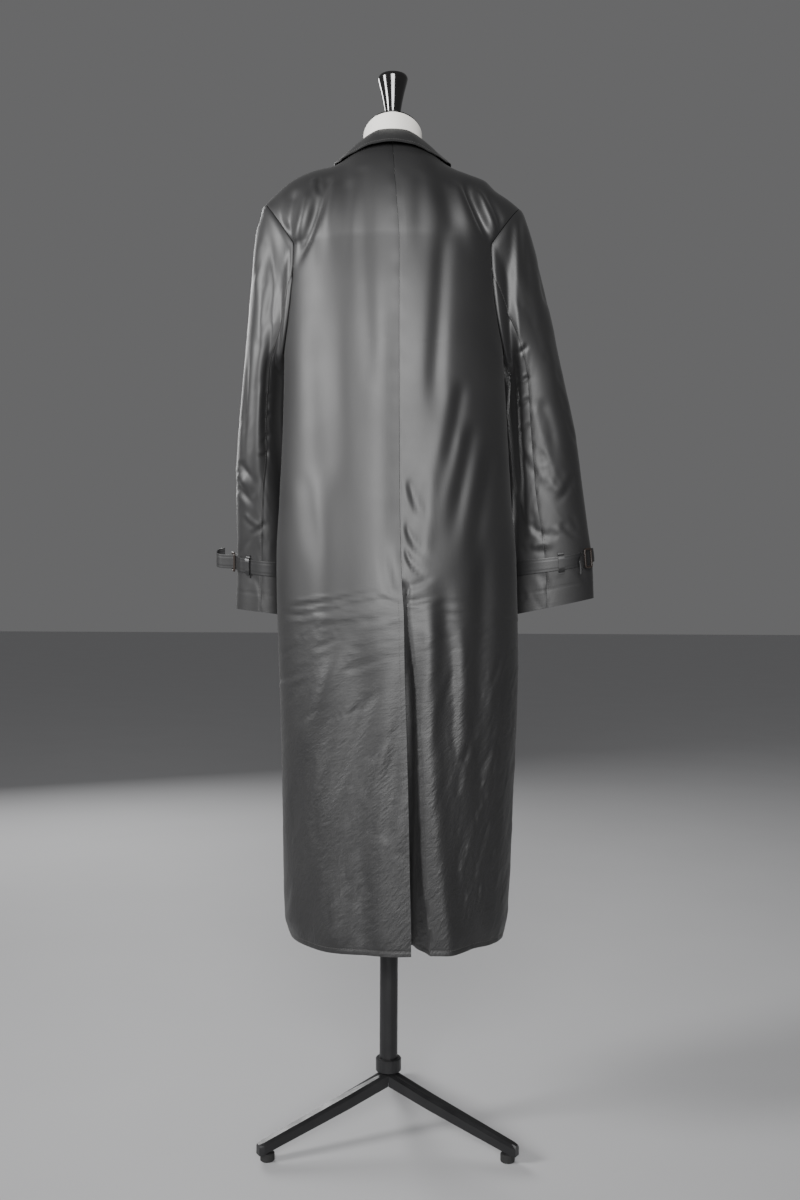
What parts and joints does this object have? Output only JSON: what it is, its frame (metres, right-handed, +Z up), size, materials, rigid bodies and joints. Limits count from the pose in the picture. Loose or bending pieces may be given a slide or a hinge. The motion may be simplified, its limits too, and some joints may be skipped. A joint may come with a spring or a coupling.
{
  "type": "trench coat on a limbless dress form with a three-legged stand",
  "caption": "Long black satin trench coat with a back vent and strapped cuffs, on a limbless dress form with a turned finial and a three-legged steel stand.",
  "frame": {"origin": "on the floor under the middle of the bounding box", "axes": "+Z up along the pole, the coat's back faces +Y and the wearer's left is +X"},
  "size_m": [0.6251, 0.3769, 1.69],
  "materials": {
    "black_satin": "satin",
    "strap_satin": "satin",
    "buckle_leather": "satin",
    "dark_horn": "gloss",
    "form_cover": "matte",
    "black_lacquer": "gloss",
    "black_steel": "satin",
    "foot_rubber": "matte"
  },
  "bodies": {
    "root": {"back_left": "black_satin", "back_right": "black_satin", "front_left": "black_satin", "front_right": "black_satin", "collar": "black_satin", "sleeve_left_top": "black_satin", "sleeve_left_under": "black_satin", "sleeve_right_top": "black_satin", "sleeve_right_under": "black_satin", "strap_left": "strap_satin", "strap_right": "strap_satin", "keeper_left": "strap_satin", "keeper_right": "strap_satin", "buckle_left": "buckle_leather", "buckle_right": "buckle_leather", "button_1": "dark_horn", "button_2": "dark_horn", "button_3": "dark_horn", "button_4": "dark_horn", "button_5": "dark_horn", "dress_form": "form_cover", "neck_cap": "black_lacquer", "finial": "black_lacquer", "pole": "black_steel", "pole_ring": "black_steel", "leg_left": "black_steel", "leg_right": "black_steel", "leg_front": "black_steel", "foot_left": "foot_rubber", "foot_right": "foot_rubber", "foot_front": "foot_rubber"}
  },
  "joints": []
}
